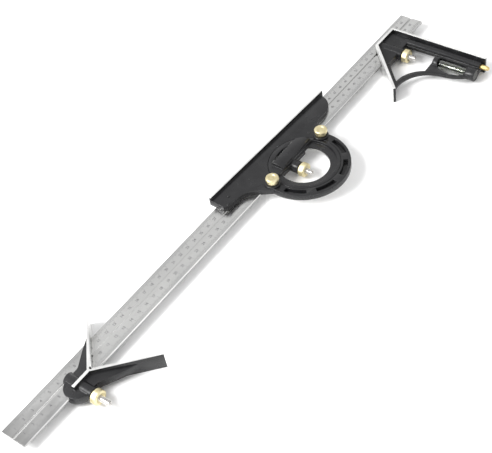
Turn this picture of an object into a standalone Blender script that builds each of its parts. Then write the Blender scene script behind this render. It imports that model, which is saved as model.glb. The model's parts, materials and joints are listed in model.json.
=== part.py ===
"""A 24-inch combination square set: a grooved steel rule that carries a square head, a protractor
head and a centre head, each clamped by its own forked bolt, spring and knurled brass nut.

Dimensions are in millimetres. Solids are built at 1 unit = 1 mm and scaled to metres when they
become objects. Every head is modelled in the rule's directions: X runs along the rule from its zero
end, Y points away from the edge that the heads clamp against, and Z = 0 is the rule's upper face.
"""

import math

import bmesh
import bpy
from mathutils import Matrix, Vector

MM = 0.001
GAP = 0.3  # clearance between neighbouring pieces
EDGE_GAP = 0.4  # clearance between a head and the rule's edges

# Rule
RULE_LENGTH = 609.6
RULE_WIDTH = 25.4
RULE_THICKNESS = 2.4
RULE_MIDDLE_Z = -RULE_THICKNESS / 2
GROOVE_WIDTH = 2.8
GROOVE_DEPTH = 0.9
SLOT_LOW = -RULE_THICKNESS - 0.2
SLOT_HIGH = 0.2
SLOT_SEAT_Y = -RULE_WIDTH - EDGE_GAP

# Heights shared by the square head and the centre head, on which the set rests
HEAD_TOP = 7.6
HEAD_BOTTOM = -10.0
HOUSING_TOP = 2.8
HOUSING_BOTTOM = -5.2

# Places of the heads along the rule
SQUARE_X = 578.0
TURRET_X = 364.0
TURRET_Y = -41.5
VERTEX_X = 80.5
FRAME_TURN = -2.0  # degrees between the protractor's straight edge and the rule

# Square head, measured from its 90 degree face and the rule's free edge
SQUARE_END_Y = -8.0
SQUARE_END_LENGTH = 33.0
SQUARE_FAR_Y = -117.5
MITRE_RUN = 52.4
FLANGE = 2.8
WEB_TOP = 0.5
WEB_BOTTOM = -2.9
HOUSING_EDGE_Y = -32.0
THUMB_CENTRE = (-69.6, -89.8)
THUMB_RADIUS = 33.1
TAIL_CENTRE = (10.7, -82.2)
TAIL_RADIUS = math.dist(THUMB_CENTRE, TAIL_CENTRE) - THUMB_RADIUS
TAIL_TURN = -133.0
TAIL_END_Y = TAIL_CENTRE[1] + TAIL_RADIUS * math.sin(math.radians(TAIL_TURN))
WINDOW_CENTRE = (-66.3, -82.9)
WINDOW_RADIUS = 30.5
WINDOW_END_X = -11.5
SQUARE_BOLT_X = -25.0
VIAL_X = -20.5
VIAL_Y = -91.0
VIAL_HALF = 16.5
VIAL_BORE_END_Y = VIAL_Y + VIAL_HALF + 2.5
VIAL_RADIUS = 4.4
VIAL_PLUG_RADIUS = 4.5
VIAL_BORE_RADIUS = 4.8
VIAL_BARREL_RADIUS = 6.4
EYE_X = -22.2
EYE_REACH_X = 9.8
EYE_REACH_Y = 16.2
SCRIBER_X = -6.4
SCRIBER_Z = -0.4
SCRIBER_BOSS_Y = -114.6
SCRIBER_RIB_RADIUS = 4.5
NEEDLE_RADIUS = 1.2
NEEDLE_TAPER_Y = -76.0
NEEDLE_TIP_Y = -68.8
NEEDLE_BORE_RADIUS = 1.7
BUSH_BORE_RADIUS = 2.6
BUSH_BORE_DEPTH = 8.0
KNOB_BORE_DEPTH = 6.0
KNOB_LENGTH = 9.2
KNOB_RADIUS = 2.5

# Clamp hardware, the same on all three heads
BARREL_RADIUS = 6.0
FORK_RADIUS = 4.0
SHANK_RADIUS = 2.4
BOSS_WALL = 1.5
SPRING_LENGTH = 4.0
SPRING_RADIUS = 3.2
SPRING_WIRE = 0.35
SPRING_TURNS = 4.5
NUT_RADIUS = 6.9
NUT_LENGTH = 7.0
NUT_TEETH = 28
BOLT_RELEASE = 1.0

# Reach of each head's clamp barrel beyond the rule, then the stud beyond the nut
SQUARE_REACH = 10.7
SQUARE_STUD = 7.4
PROTRACTOR_REACH = 12.4
PROTRACTOR_STUD = 6.6
CENTRE_REACH = 14.6
CENTRE_STUD = 10.2
SQUARE_FORK = 16.0
SHORT_FORK = 12.8

# Protractor head, measured from the turret's axis
TURRET_RADIUS = 34.1
TURRET_WALL = 3.4
TURRET_WINDOW = 24.0
FRAME_BORE = 34.4
FRAME_LIP = 32.8
LIP_TOP = 1.5
RING_RADIUS = 43.8
FRAME_BOTTOM = 0.3
PLATE_TOP = 6.5
EDGE_TOP = 10.0
EDGE_Y = 45.3
EDGE_THICKNESS = 2.2
EDGE_LEFT = -86.0
EDGE_RIGHT = 90.0
LOBE_CENTRE = (66.5, 44.0)
LOBE_RADIUS = 20.0
POCKET_RADIUS = 38.8
POCKET_WIDTH = 4.6
LOCK_X = 38.2
LOCK_Y = 8.0
LOCK_RADIUS = 6.3
LOCK_HEIGHT = 6.6
LOCK_NECK_RADIUS = LOCK_RADIUS - 0.7
LOCK_NECK_LENGTH = 2.9
LOCK_FOOT_RADIUS = 2.0
LOCK_DISH_DEPTH = 0.8
SHOE_RADIUS = 7.4
SHOE_THICKNESS = 1.6
BAR_LEFT = -18.0
BAR_LOW_Y = 12.5
BAR_RIDGE_Y = 17.2
BAR_HIGH_Y = 23.6
BAR_TOP = 10.3
BAR_REACH = 31.0  # the bar's ends stay inside the circle that the lock shoes sweep
CRESCENT_RADIUS = 28.6
TURRET_BOLT_X = -2.0
SEAT_REACH = 17.5
SEAT_WIDTH = 4.5
TURRET_VIAL_Y = 23.2
TURRET_VIAL_Z = 6.2
TURRET_VIAL_RADIUS = 3.1
TURRET_VIAL_HALF = 13.0
TURRET_PLUG = 2.4

# Centre head, measured from the vertex of its V, which lies on the rule's clamped edge
ARM_LENGTH = 60.0
ARM_THICKNESS = 3.4
ARM_TIP_THICKNESS = 1.0
STEM_LENGTH = 21.5
STEM_WIDTH = 3.0
CENTRE_BOLT_X = -14.5
PAD_CENTRE_X = -17.5
PAD_RADIUS = 12.0
VERTEX_RELIEF = 1.3

# The set's reach on either side of the rule's free edge, from which the origin is centred
REACH_OUT = (ARM_LENGTH + ARM_TIP_THICKNESS) / math.sqrt(2) - RULE_WIDTH
REACH_IN = GAP + KNOB_LENGTH - SCRIBER_BOSS_Y


def clear_scene():
    for leftover in list(bpy.data.objects):
        bpy.data.objects.remove(leftover)


def material(name, colour, roughness, metallic):
    made = bpy.data.materials.new(name)
    made.use_nodes = True
    shader = made.node_tree.nodes["Principled BSDF"]
    shader.inputs["Base Color"].default_value = (*colour, 1.0)
    shader.inputs["Roughness"].default_value = roughness
    shader.inputs["Metallic"].default_value = metallic
    return made


def datum(name, place, parent=None, turn=0.0):
    """An empty that its pieces are placed from."""
    empty = bpy.data.objects.new(name, None)
    empty.empty_display_size = 0.01
    empty.location = Vector(place) * MM
    empty.rotation_euler = (0.0, 0.0, math.radians(turn))
    empty.parent = parent
    bpy.context.scene.collection.objects.link(empty)
    return empty


def solid_from(work):
    """A temporary object, still in millimetres, from a bmesh."""
    bmesh.ops.recalc_face_normals(work, faces=work.faces)
    mesh = bpy.data.meshes.new("solid")
    work.to_mesh(mesh)
    work.free()
    made = bpy.data.objects.new("solid", mesh)
    bpy.context.scene.collection.objects.link(made)
    return made


def block(x_range, y_range, z_range):
    work = bmesh.new()
    low = Vector((x_range[0], y_range[0], z_range[0]))
    high = Vector((x_range[1], y_range[1], z_range[1]))
    size = high - low
    bmesh.ops.create_cube(work, size=1.0)
    bmesh.ops.scale(work, vec=size, verts=work.verts)
    bmesh.ops.translate(work, vec=(low + high) / 2, verts=work.verts)
    return solid_from(work)


def prism(outline, low, high):
    """The plan outline, extruded from height low to height high."""
    work = bmesh.new()
    corners = [work.verts.new((x, y, low)) for x, y in outline]
    base = work.faces.new(corners)
    grown = bmesh.ops.extrude_face_region(work, geom=[base])
    risen = [item for item in grown["geom"] if isinstance(item, bmesh.types.BMVert)]
    bmesh.ops.translate(work, vec=(0, 0, high - low), verts=risen)
    return solid_from(work)


def long_bar(section, start, end):
    """The (y, z) section, extruded along X from start to end."""
    work = bmesh.new()
    face = work.faces.new([work.verts.new((start, y, z)) for y, z in section])
    grown = bmesh.ops.extrude_face_region(work, geom=[face])
    moved = [item for item in grown["geom"] if isinstance(item, bmesh.types.BMVert)]
    bmesh.ops.translate(work, vec=(end - start, 0, 0), verts=moved)
    return solid_from(work)


def turned(profile, segments=32, axis="Z", centre=(0, 0, 0)):
    """A solid of revolution from (radius, height) points, about the named axis through centre."""
    work = bmesh.new()
    rings = []
    for radius, height in profile:
        if radius == 0:
            rings.append([work.verts.new((0, 0, height))])
            continue
        angles = (2 * math.pi * step / segments for step in range(segments))
        ring = [(radius * math.cos(a), radius * math.sin(a), height) for a in angles]
        rings.append([work.verts.new(point) for point in ring])
    for low, high in zip(rings, rings[1:]):
        for step in range(segments):
            after = (step + 1) % segments
            if len(low) == 1:
                work.faces.new((low[0], high[step], high[after]))
            elif len(high) == 1:
                work.faces.new((low[step], low[after], high[0]))
            else:
                work.faces.new((low[step], low[after], high[after], high[step]))
    for ring in (rings[0], rings[-1]):
        if len(ring) > 1:
            work.faces.new(ring)
    turns = {"Z": Matrix(), "Y": Matrix.Rotation(-math.pi / 2, 4, "X")}
    turns["X"] = Matrix.Rotation(math.pi / 2, 4, "Y")
    work.transform(Matrix.Translation(centre) @ turns[axis])
    return solid_from(work)


def rod(radius, start, end, axis="Z", centre=(0, 0, 0), segments=32):
    return turned([(radius, start), (radius, end)], segments, axis, centre)


def combine(target, tool, operation):
    """One Boolean between two temporary solids. The tool is used up."""
    step = target.modifiers.new("combine", "BOOLEAN")
    step.operation = operation
    step.solver = "EXACT"
    step.object = tool
    graph = bpy.context.evaluated_depsgraph_get()
    mesh = bpy.data.meshes.new_from_object(target.evaluated_get(graph))
    target.modifiers.clear()
    target.data = mesh
    bpy.data.objects.remove(tool)
    return target


def joined(target, *tools):
    for tool in tools:
        combine(target, tool, "UNION")
    return target


def cut(target, *tools):
    for tool in tools:
        combine(target, tool, "DIFFERENCE")
    return target


def piece(solid, name, finish, parent, place=(0, 0, 0)):
    """Turns a temporary solid into a named sub-part, in metres, placed from its datum."""
    solid.name = name
    mesh = solid.data
    mesh.name = name
    mesh.transform(Matrix.Scale(MM, 4))
    mesh.materials.clear()
    mesh.materials.append(finish)
    mesh.shade_smooth()
    mesh.set_sharp_from_angle(angle=math.radians(30))
    solid.parent = parent
    solid.location = Vector(place) * MM
    return solid


def arc(centre, radius, start, end, steps):
    """Points along an arc, both ends included, with its angles in degrees."""
    points = []
    for step in range(steps + 1):
        angle = math.radians(start + (end - start) * step / steps)
        points.append((centre[0] + radius * math.cos(angle), centre[1] + radius * math.sin(angle)))
    return points


# ---------------------------------------------------------------- rule


def steel_rule(parent, finish):
    """A bar with the key groove along the middle of its upper face."""
    middle = -RULE_WIDTH / 2
    drop = GROOVE_WIDTH / 2
    section = [(0, 0), (0, -RULE_THICKNESS), (-RULE_WIDTH, -RULE_THICKNESS), (-RULE_WIDTH, 0)]
    section += [(middle - drop, 0), (middle - drop * 0.7, -GROOVE_DEPTH)]
    section += [(middle + drop * 0.7, -GROOVE_DEPTH), (middle + drop, 0)]
    return piece(long_bar(section, 0, RULE_LENGTH), "steel_rule", finish, parent)


# ---------------------------------------------------------------- clamp hardware
# Each clamp is measured from its bolt's axis where that crosses the rule's clamped edge: the fork
# points along +Y over and under the rule, and the shank runs along -Y out of the barrel.


def clamp_barrel(reach, back):
    """The boss around the bolt, from back (on the rule's side) to the face the nut bears on."""
    return rod(BARREL_RADIUS, -reach, back, "Y")


def clamp_bore(reach, back):
    """Room for the fork, the spring and the shank."""
    wide = rod(FORK_RADIUS + GAP, -reach + BOSS_WALL, back + 1.0, "Y")
    return joined(wide, rod(SHANK_RADIUS + GAP, -reach - 1.0, -reach + BOSS_WALL + 1.0, "Y", segments=24))


def clamp_bolt(name, parent, place, reach, fork, stud, finish):
    """Fork with a key lug for the rule's groove, shoulder for the spring, threaded shank."""
    shoulder = -(reach - BOSS_WALL - 2 * GAP - SPRING_LENGTH)
    tip = -(reach + GAP + NUT_LENGTH + stud)
    profile = [(0, fork), (FORK_RADIUS - 0.5, fork), (FORK_RADIUS, fork - 0.5)]
    profile += [(FORK_RADIUS, shoulder), (SHANK_RADIUS, shoulder)]
    profile += [(SHANK_RADIUS, tip + 0.6), (SHANK_RADIUS - 0.6, tip), (0, tip)]
    bolt = turned(profile[::-1], 24, "Y")
    wide = FORK_RADIUS + 1.0
    half_slot = (SLOT_HIGH - SLOT_LOW) / 2
    slot_end = -BOLT_RELEASE - GAP
    cut(bolt, block((-wide, wide), (slot_end, fork + 1.0), (-half_slot, half_slot)))
    key_low = -RULE_MIDDLE_Z - GROOVE_DEPTH + 0.4
    key_back = RULE_WIDTH / 2
    joined(bolt, block((-2.0, 2.0), (key_back - 1.0, key_back), (key_low, half_slot + 0.8)))
    driver_slot = block((-0.5, 0.5), (tip - 1.0, tip + 1.6), (-wide, wide))
    cut(bolt, driver_slot)
    return piece(bolt, name, finish, parent, place)


def knurled_outline(radius, teeth, depth):
    """A toothed circle: two points on each tooth's crest and two in its root."""
    points = []
    for tooth in range(teeth):
        for part, out in ((0.0, 0), (0.3, 0), (0.5, 1), (0.8, 1)):
            angle = 2 * math.pi * (tooth + part) / teeth
            reach = radius - depth * out
            points.append((reach * math.cos(angle), reach * math.sin(angle)))
    return points


def knurled_nut(name, parent, place, reach, finish):
    """A short hub against the barrel, then the knurled rim, with a dished outer face."""
    start = -(reach + GAP)
    rim = prism(knurled_outline(NUT_RADIUS, NUT_TEETH, 0.35), 0.9, NUT_LENGTH - 0.4)
    joined(rim, rod(NUT_RADIUS - 1.6, 0.0, NUT_LENGTH))
    cut(rim, rod(SHANK_RADIUS + GAP, -1.0, NUT_LENGTH + 1.0, segments=24))
    cut(rim, turned([(3.4, NUT_LENGTH - 0.7), (4.2, NUT_LENGTH + 0.5)], 24))
    rim.data.transform(Matrix.Rotation(math.pi / 2, 4, "X"))
    rim.data.transform(Matrix.Translation((0, start, 0)))
    return piece(rim, name, finish, parent, place)


def clamp_spring(name, parent, place, reach, finish):
    """A compression spring round the shank, between the bolt's shoulder and the barrel's end."""
    start = -(reach - BOSS_WALL - GAP) + SPRING_WIRE
    rise = SPRING_LENGTH - 2 * SPRING_WIRE
    around, sides = 14, 5
    steps = round(SPRING_TURNS * around)
    work = bmesh.new()
    rings = []
    for step in range(steps + 1):
        angle = 2 * math.pi * step / around
        out = Vector((math.cos(angle), 0, math.sin(angle)))
        middle = out * SPRING_RADIUS + Vector((0, start + rise * step / steps, 0))
        ring = []
        for side in range(sides):
            turn = 2 * math.pi * side / sides
            offset = out * math.cos(turn) + Vector((0, math.sin(turn), 0))
            ring.append(work.verts.new(middle + offset * SPRING_WIRE))
        rings.append(ring)
    for near, far in zip(rings, rings[1:]):
        for side in range(sides):
            after = (side + 1) % sides
            work.faces.new((near[side], near[after], far[after], far[side]))
    work.faces.new(rings[0])
    work.faces.new(rings[-1])
    return piece(solid_from(work), name, finish, parent, place)


def clamp_set(prefix, parent, place, reach, fork, stud, finishes):
    clamp_bolt(prefix + "_clamp_bolt", parent, place, reach, fork, stud, finishes["bright_steel"])
    clamp_spring(prefix + "_clamp_spring", parent, place, reach, finishes["bright_steel"])
    knurled_nut(prefix + "_clamp_nut", parent, place, reach, finishes["brass"])


def level_vial(name, parent, place, radius, length, axis, finish):
    """A sealed glass tube with rounded ends."""
    half = length / 2
    ease = radius * 0.4
    profile = [(0, -half), (radius - ease, -half), (radius, ease - half)]
    profile += [(radius, half - ease), (radius - ease, half), (0, half)]
    return piece(turned(profile, 24, axis), name, finish, parent, place)


# ---------------------------------------------------------------- square head


def square_outline():
    """The end, the far end of the web, the S-curve of the tail and the thumb hollow, and the mitre."""
    meeting = TAIL_CENTRE[1] - THUMB_CENTRE[1]
    meeting = math.degrees(math.atan2(meeting, TAIL_CENTRE[0] - THUMB_CENTRE[0]))
    far = [(0, SQUARE_END_Y), (0, TAIL_END_Y)]
    tail = arc(TAIL_CENTRE, TAIL_RADIUS, TAIL_TURN, meeting - 180, 8)
    thumb = arc(THUMB_CENTRE, THUMB_RADIUS, meeting, 108, 22)
    tip = (-SQUARE_END_LENGTH - MITRE_RUN, SQUARE_END_Y - MITRE_RUN)
    return far + tail + thumb[1:] + [tip, (-SQUARE_END_LENGTH, SQUARE_END_Y)]


def square_flange():
    """The wall behind the 90 degree face, the end face and the 45 degree face."""
    corner = (-SQUARE_END_LENGTH, SQUARE_END_Y)
    tip = (corner[0] - MITRE_RUN, corner[1] - MITRE_RUN)
    inset = FLANGE / math.sqrt(2)
    inner_y = SQUARE_END_Y - FLANGE
    inner_corner_x = inner_y + corner[0] - corner[1] + 2 * inset
    outline = [(0, SQUARE_FAR_Y), (0, SQUARE_END_Y), corner, tip, (tip[0] + inset, tip[1] - inset)]
    outline += [(inner_corner_x, inner_y), (-FLANGE, inner_y), (-FLANGE, SQUARE_FAR_Y)]
    return prism(outline, HEAD_BOTTOM, HEAD_TOP)


def square_housing():
    """The thicker part of the web, which the rule slides through."""
    margin = 1.0
    near_y = SQUARE_END_Y - margin
    mitre = SQUARE_END_Y + SQUARE_END_LENGTH - 2 * margin
    outline = [(-margin, near_y), (-margin, HOUSING_EDGE_Y)]
    outline += [(HOUSING_EDGE_Y - mitre, HOUSING_EDGE_Y), (near_y - mitre, near_y)]
    return prism(outline, HOUSING_BOTTOM, HOUSING_TOP)


def square_window():
    """The large opening between the mitre, the thumb hollow and the scriber's rib."""
    outline = [(-45.5, HOUSING_EDGE_Y)]
    outline += arc(WINDOW_CENTRE, WINDOW_RADIUS, 90, 26, 10)
    outline += [(WINDOW_END_X, -68.8), (WINDOW_END_X, HOUSING_EDGE_Y)]
    return prism(outline, HEAD_BOTTOM - 1, HEAD_TOP + 1)


def level_eye():
    """The lens-shaped opening through which the level is read."""
    turns = [2 * math.pi * step / 28 for step in range(28)]
    outline = [(EYE_X + EYE_REACH_X * math.cos(a), VIAL_Y + EYE_REACH_Y * math.sin(a)) for a in turns]
    return prism(outline, HEAD_BOTTOM - 1, HEAD_TOP + 1)


def square_head_casting(parent, finish):
    bolt = (SQUARE_BOLT_X, -RULE_WIDTH, RULE_MIDDLE_Z)
    to_bolt = Matrix.Translation(bolt)
    barrel = clamp_barrel(SQUARE_REACH, RULE_WIDTH + SQUARE_END_Y - 1.0)
    barrel.data.transform(to_bolt)
    bore = clamp_bore(SQUARE_REACH, RULE_WIDTH + SQUARE_END_Y)
    bore.data.transform(to_bolt)
    vial_axis = (VIAL_X, 0, RULE_MIDDLE_Z)
    scriber_axis = (SCRIBER_X, 0, SCRIBER_Z)
    casting = prism(square_outline(), WEB_BOTTOM, WEB_TOP)
    notch_x = (SCRIBER_X - 4.0, 1.0)
    knob_notch = block(notch_x, (SQUARE_FAR_Y, SCRIBER_BOSS_Y), (WEB_BOTTOM - 1, WEB_TOP + 1))
    cut(casting, square_window(), knob_notch)
    joined(casting, square_flange(), square_housing(), barrel)
    joined(casting, rod(VIAL_BARREL_RADIUS, TAIL_END_Y + 0.4, VIAL_BORE_END_Y + 2.0, "Y", vial_axis))
    joined(casting, rod(SCRIBER_RIB_RADIUS, SCRIBER_BOSS_Y, HOUSING_EDGE_Y + 4.0, "Y", scriber_axis, 24))
    cut(casting, level_eye(), bore)
    cut(casting, block((-100.0, 10.0), (SLOT_SEAT_Y, 5.0), (SLOT_LOW, SLOT_HIGH)))
    cut(casting, rod(VIAL_BORE_RADIUS, TAIL_END_Y - 1, VIAL_BORE_END_Y, "Y", vial_axis, 24))
    bush_end = SCRIBER_BOSS_Y + BUSH_BORE_DEPTH
    cut(casting, rod(BUSH_BORE_RADIUS, SCRIBER_BOSS_Y - 1, bush_end, "Y", scriber_axis, 20))
    needle_end = NEEDLE_TIP_Y + 2.8
    cut(casting, rod(NEEDLE_BORE_RADIUS, SCRIBER_BOSS_Y + 2, needle_end, "Y", scriber_axis, 20))
    return piece(casting, "square_head_casting", finish, parent)


def scriber(parent, finishes):
    """Hardened needle in a brass knob, held in the head by a split brass bush."""
    boss = SCRIBER_BOSS_Y
    place = (SCRIBER_X, 0, SCRIBER_Z)
    needle = [(0, boss - KNOB_BORE_DEPTH), (NEEDLE_RADIUS, boss - KNOB_BORE_DEPTH)]
    needle += [(NEEDLE_RADIUS, NEEDLE_TAPER_Y), (0.2, NEEDLE_TIP_Y - 0.2), (0, NEEDLE_TIP_Y)]
    piece(turned(needle, 20, "Y"), "scriber_needle", finishes["bright_steel"], parent, place)
    knob = prism(knurled_outline(KNOB_RADIUS, 16, 0.2), 0.8, KNOB_LENGTH - 2.6)
    crown = [(KNOB_RADIUS - 0.6, 0.0), (KNOB_RADIUS - 0.4, 0.3), (KNOB_RADIUS - 0.4, KNOB_LENGTH - 1.4)]
    joined(knob, turned(crown + [(1.3, KNOB_LENGTH - 0.4), (0, KNOB_LENGTH)], 24))
    cut(knob, rod(NEEDLE_RADIUS + GAP, -1.0, KNOB_BORE_DEPTH + GAP, segments=20))
    knob.data.transform(Matrix.Rotation(math.pi / 2, 4, "X"))
    knob.data.transform(Matrix.Translation((0, boss - GAP, 0)))
    piece(knob, "scriber_knob", finishes["brass"], parent, place)
    bush = rod(BUSH_BORE_RADIUS - 0.2, boss + 0.2, boss + BUSH_BORE_DEPTH - 0.4, "Y", segments=20)
    past = boss + BUSH_BORE_DEPTH + 1
    cut(bush, rod(NEEDLE_RADIUS + 0.2, boss - 1, past, "Y", segments=20))
    cut(bush, block((-0.3, 0.3), (boss - 1, past), (0, SCRIBER_RIB_RADIUS)))
    piece(bush, "scriber_bush", finishes["brass"], parent, place)


def square_head(parent, finishes):
    square_head_casting(parent, finishes["painted_iron"])
    bolt = (SQUARE_BOLT_X, -RULE_WIDTH, RULE_MIDDLE_Z)
    clamp_set("square", parent, bolt, SQUARE_REACH, SQUARE_FORK, SQUARE_STUD, finishes)
    vial = (VIAL_X, VIAL_Y, RULE_MIDDLE_Z)
    level_vial("square_level_vial", parent, vial, VIAL_RADIUS, 2 * VIAL_HALF, "Y", finishes["glass"])
    axis = (VIAL_X, 0, RULE_MIDDLE_Z)
    inner = rod(VIAL_PLUG_RADIUS, VIAL_Y + VIAL_HALF + GAP, VIAL_BORE_END_Y - GAP, "Y", segments=24)
    piece(inner, "square_vial_plug_inner", finishes["compound"], parent, axis)
    outer = rod(VIAL_PLUG_RADIUS, TAIL_END_Y + 0.7, VIAL_Y - VIAL_HALF - GAP, "Y", segments=24)
    piece(outer, "square_vial_plug_outer", finishes["compound"], parent, axis)
    scriber(parent, finishes)


# ---------------------------------------------------------------- protractor head


def frame_outline():
    """Straight edge at the top, hooked lobes at both ends, and the round body around the turret."""
    top = [(EDGE_LEFT, EDGE_Y), (EDGE_LEFT, 28.5), (-82.5, 25.2)]
    left = [(-66.5, 25.0), (-60.5, 23.0), (-56.0, 19.5), (-52.0, 15.0), (-48.5, 9.5)]
    body = arc((0, 0), RING_RADIUS, 176, 364, 48)
    right = [(47.2, 10.5), (48.4, 16.5), (51.0, 21.5), (56.0, 24.0)]
    lobe = arc(LOBE_CENTRE, LOBE_RADIUS, -96, -4, 9)
    return top + left + body + right + lobe + [(lobe[-1][0], EDGE_Y)]


def ring_pocket(middle):
    """A curved pocket in the ring, centred on the given angle in degrees."""
    half = 15.2
    outer = arc((0, 0), POCKET_RADIUS + POCKET_WIDTH / 2, middle - half, middle + half, 10)
    inner = arc((0, 0), POCKET_RADIUS - POCKET_WIDTH / 2, middle + half, middle - half, 10)
    return prism(outer + inner, PLATE_TOP - 4.4, PLATE_TOP + 1)


def protractor_frame_casting(parent, finish):
    casting = prism(frame_outline(), FRAME_BOTTOM, PLATE_TOP)
    stepped = [(FRAME_LIP, FRAME_BOTTOM - 1), (FRAME_LIP, LIP_TOP), (FRAME_BORE, LIP_TOP)]
    cut(casting, turned(stepped + [(FRAME_BORE, PLATE_TOP + 1)], 72))
    edge_y = (EDGE_Y - EDGE_THICKNESS, EDGE_Y)
    joined(casting, block((EDGE_LEFT, EDGE_RIGHT), edge_y, (FRAME_BOTTOM, EDGE_TOP)))
    for middle in (-156, -112, -68, -24):
        cut(casting, ring_pocket(middle))
    for side in (-1, 1):
        place = (side * LOCK_X, LOCK_Y, 0)
        cut(casting, rod(2.0 + GAP, FRAME_BOTTOM + 1.2, PLATE_TOP + 1, "Z", place, 20))
    return piece(casting, "protractor_frame", finish, parent)


def lock_screw(name, parent, place, finish):
    """A brass thumb screw with a knurled neck and a dished cap, which presses its shoe on the turret."""
    base = PLATE_TOP + GAP + SHOE_THICKNESS + GAP
    brim = base + LOCK_NECK_LENGTH
    top = base + LOCK_HEIGHT
    screw = prism(knurled_outline(LOCK_NECK_RADIUS, 30, 0.3), base, brim + 1.0)
    cap = [(0, brim), (LOCK_RADIUS, brim), (LOCK_RADIUS, top - 1.5), (LOCK_RADIUS - 2.2, top), (0, top)]
    joined(screw, turned(cap, 30))
    joined(screw, rod(LOCK_FOOT_RADIUS, FRAME_BOTTOM + 1.8, base + 1.0, segments=20))
    dish = [(2.4, top - LOCK_DISH_DEPTH), (4.2, top + LOCK_DISH_DEPTH / 2)]
    cut(screw, turned(dish, 24))
    return piece(screw, name, finish, parent, place)


def lock_shoe(name, parent, place, finish):
    """The round shoe under a lock screw, whose rim overlaps the turret."""
    base = PLATE_TOP + GAP
    shoe = turned([(SHOE_RADIUS, base), (SHOE_RADIUS, base + SHOE_THICKNESS - 0.4),
                   (SHOE_RADIUS - 0.4, base + SHOE_THICKNESS)], 32)
    cut(shoe, rod(LOCK_FOOT_RADIUS + GAP, base - 1, base + SHOE_THICKNESS + 1, segments=20))
    return piece(shoe, name, finish, parent, place)


def turret_bar(low):
    """The ridge across the turret, above the rule."""
    section = [(BAR_LOW_Y, low), (BAR_LOW_Y, BAR_TOP - 2.2), (BAR_RIDGE_Y, BAR_TOP)]
    section += [(BAR_HIGH_Y, BAR_TOP), (BAR_HIGH_Y, low)]
    bar = long_bar(section, BAR_LEFT, BAR_REACH)
    return combine(bar, rod(BAR_REACH, low - 1, BAR_TOP + 1, segments=64), "INTERSECT")


def protractor_turret(parent, finish):
    """Rim, crossbar over the rule, seat against the rule's edge, and the clamp barrel."""
    low = LIP_TOP + GAP
    turret = rod(TURRET_RADIUS, low, PLATE_TOP, segments=72)
    window = arc((0, 0), TURRET_WINDOW, 180 - 26, 360 + 26, 32)
    cut(turret, prism(window, low - 1, PLATE_TOP + 1))
    dish = arc((0, 0), TURRET_RADIUS - TURRET_WALL, 180 - 22, 360 + 22, 36)
    cut(turret, prism(dish, low + 1.8, PLATE_TOP + 1))
    joined(turret, turret_bar(low + 0.4))
    seat_y = SLOT_SEAT_Y - TURRET_Y
    seat = block((-SEAT_REACH, SEAT_REACH), (seat_y - SEAT_WIDTH, seat_y), (-RULE_THICKNESS, low + 1))
    joined(turret, seat)
    barrel = clamp_barrel(PROTRACTOR_REACH, -GAP)
    bolt = Matrix.Translation((TURRET_BOLT_X, -RULE_WIDTH - TURRET_Y, RULE_MIDDLE_Z))
    barrel.data.transform(bolt)
    bore = clamp_bore(PROTRACTOR_REACH, SHORT_FORK + BOLT_RELEASE)
    bore.data.transform(bolt)
    half_turn = math.degrees(math.acos((BAR_HIGH_Y + 0.1) / CRESCENT_RADIUS))
    crescent = arc((0, 0), CRESCENT_RADIUS, 90 + half_turn, 90 - half_turn, 16)
    cut(turret, prism(crescent, low - 1, PLATE_TOP + 1))
    joined(turret, barrel)
    vial = (0, TURRET_VIAL_Y, TURRET_VIAL_Z)
    vial_room = TURRET_VIAL_HALF + TURRET_PLUG + 2 * GAP
    cut(turret, bore, rod(TURRET_VIAL_RADIUS + GAP, -vial_room, vial_room, "X", vial, 24))
    return piece(turret, "protractor_turret", finish, parent)


def scale_ring(parent, finish):
    """The graduated ring on the turret's front face."""
    ring = rod(FRAME_LIP - GAP, FRAME_BOTTOM, LIP_TOP, segments=72)
    cut(ring, rod(TURRET_WINDOW, FRAME_BOTTOM - 1, LIP_TOP + 1, segments=48))
    fork_x = (TURRET_BOLT_X - FORK_RADIUS - GAP, TURRET_BOLT_X + FORK_RADIUS + GAP)
    fork_end = -RULE_WIDTH - TURRET_Y + SHORT_FORK + BOLT_RELEASE + GAP
    cut(ring, block(fork_x, (0, fork_end), (FRAME_BOTTOM - 1, LIP_TOP + 1)))
    return piece(ring, "protractor_scale_ring", finish, parent)


def protractor_head(turret_datum, frame_datum, finishes):
    protractor_turret(turret_datum, finishes["painted_iron"])
    scale_ring(turret_datum, finishes["satin_steel"])
    bolt = (TURRET_BOLT_X, -RULE_WIDTH - TURRET_Y, RULE_MIDDLE_Z)
    clamp_set("protractor", turret_datum, bolt, PROTRACTOR_REACH, SHORT_FORK, PROTRACTOR_STUD, finishes)
    vial = (0, TURRET_VIAL_Y, TURRET_VIAL_Z)
    length = 2 * TURRET_VIAL_HALF
    glass = finishes["glass"]
    level_vial("protractor_level_vial", turret_datum, vial, TURRET_VIAL_RADIUS, length, "X", glass)
    for side, word in ((-1, "left"), (1, "right")):
        near = TURRET_VIAL_HALF + GAP
        near, far = sorted((side * near, side * (near + TURRET_PLUG)))
        plug = rod(TURRET_VIAL_RADIUS, near, far, "X", segments=24)
        piece(plug, "protractor_vial_plug_" + word, finishes["compound"], turret_datum, vial)
        lock = (side * LOCK_X, LOCK_Y, 0)
        lock_screw("lock_screw_" + word, frame_datum, lock, finishes["brass"])
        lock_shoe("lock_shoe_" + word, frame_datum, lock, finishes["painted_iron"])
    protractor_frame_casting(frame_datum, finishes["painted_iron"])


# ---------------------------------------------------------------- centre head


def centre_arms():
    """The two walls of the V, each at 45 degrees to the rule and tapering towards its tip."""
    along = ARM_LENGTH / math.sqrt(2)
    tip = ARM_TIP_THICKNESS / math.sqrt(2)
    half = [(along, along), (along - tip, along + tip)]
    mirrored = [(x, -y) for x, y in reversed(half)]
    root = (-ARM_THICKNESS * math.sqrt(2), 0)
    return prism([(0, 0)] + half + [root] + mirrored, HEAD_BOTTOM, HEAD_TOP)


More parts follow.
